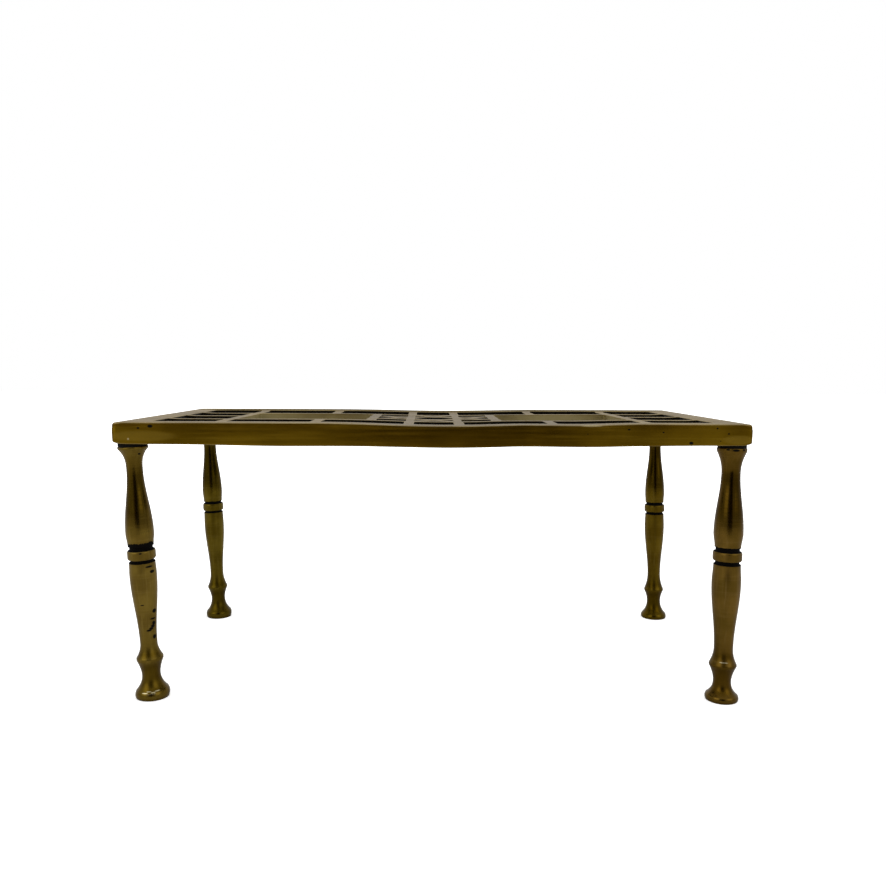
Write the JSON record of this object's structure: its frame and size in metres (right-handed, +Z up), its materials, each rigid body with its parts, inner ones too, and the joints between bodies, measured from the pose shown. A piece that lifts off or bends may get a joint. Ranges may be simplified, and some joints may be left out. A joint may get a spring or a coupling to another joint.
{
  "type": "low brass table stand",
  "caption": "Low rectangular brass stand with a flat pierced top, an eight-pointed star at its middle, on turned legs that screw into the corners.",
  "frame": {"origin": "on the floor, under the middle of the top", "axes": "+X along the top's length to the right, +Y to the back, +Z up"},
  "size_m": [0.3081, 0.1572, 0.137],
  "materials": {
    "cast_brass": "sand cast, filed and aged",
    "turned_brass": "turned, worn and aged",
    "black_fibre": "black, oiled and dirty",
    "stud_steel": "oiled thread"
  },
  "bodies": {
    "top": {"pierced_top": "cast_brass"},
    "front_left_packing": {"front_left_washer": "black_fibre"},
    "front_left_leg": {"front_left_upper_spindle": "turned_brass", "front_left_collar": "turned_brass", "front_left_lower_spindle": "turned_brass", "front_left_top_stud": "stud_steel", "front_left_joint_stud": "stud_steel"},
    "front_right_packing": {"front_right_washer": "black_fibre"},
    "front_right_leg": {"front_right_upper_spindle": "turned_brass", "front_right_collar": "turned_brass", "front_right_lower_spindle": "turned_brass", "front_right_top_stud": "stud_steel", "front_right_joint_stud": "stud_steel"},
    "back_left_packing": {"back_left_washer": "black_fibre"},
    "back_left_leg": {"back_left_upper_spindle": "turned_brass", "back_left_collar": "turned_brass", "back_left_lower_spindle": "turned_brass", "back_left_top_stud": "stud_steel", "back_left_joint_stud": "stud_steel"},
    "back_right_packing": {"back_right_washer": "black_fibre"},
    "back_right_leg": {"back_right_upper_spindle": "turned_brass", "back_right_collar": "turned_brass", "back_right_lower_spindle": "turned_brass", "back_right_top_stud": "stud_steel", "back_right_joint_stud": "stud_steel"}
  },
  "joints": [
    {"name": "front_left_leg_drop", "type": "slide", "parent": "top", "child": "front_left_packing", "axis": [0.0458, 0.0221, -0.9987], "range_m": [0, 0.0072]},
    {"name": "front_left_leg_turn", "type": "hinge", "parent": "front_left_packing", "child": "front_left_leg", "pos_m": [-0.1454, -0.0684, 0.1264], "axis": [0.0458, 0.0221, -0.9987], "range_deg": [0, 3240]},
    {"name": "front_right_leg_drop", "type": "slide", "parent": "top", "child": "front_right_packing", "axis": [-0.0174, -0.0221, -0.9996], "range_m": [0, 0.0072]},
    {"name": "front_right_leg_turn", "type": "hinge", "parent": "front_right_packing", "child": "front_right_leg", "pos_m": [0.1454, -0.0684, 0.1264], "axis": [-0.0174, -0.0221, -0.9996], "range_deg": [0, 3240]},
    {"name": "back_left_leg_drop", "type": "slide", "parent": "top", "child": "back_left_packing", "axis": [0.0332, 0.0111, -0.9994], "range_m": [0, 0.0072]},
    {"name": "back_left_leg_turn", "type": "hinge", "parent": "back_left_packing", "child": "back_left_leg", "pos_m": [-0.1454, 0.0684, 0.1264], "axis": [0.0332, 0.0111, -0.9994], "range_deg": [0, 3240]},
    {"name": "back_right_leg_drop", "type": "slide", "parent": "top", "child": "back_right_packing", "axis": [0.0127, -0.0111, -0.9999], "range_m": [0, 0.0072]},
    {"name": "back_right_leg_turn", "type": "hinge", "parent": "back_right_packing", "child": "back_right_leg", "pos_m": [0.1454, 0.0684, 0.1264], "axis": [0.0127, -0.0111, -0.9999], "range_deg": [0, 3240]}
  ],
  "couplings": [
    {"joint": "front_left_leg_turn", "follows": "front_left_leg_drop", "rad_per_m": 7853.9},
    {"joint": "front_right_leg_turn", "follows": "front_right_leg_drop", "rad_per_m": 7853.9},
    {"joint": "back_left_leg_turn", "follows": "back_left_leg_drop", "rad_per_m": 7853.9},
    {"joint": "back_right_leg_turn", "follows": "back_right_leg_drop", "rad_per_m": 7853.9}
  ]
}
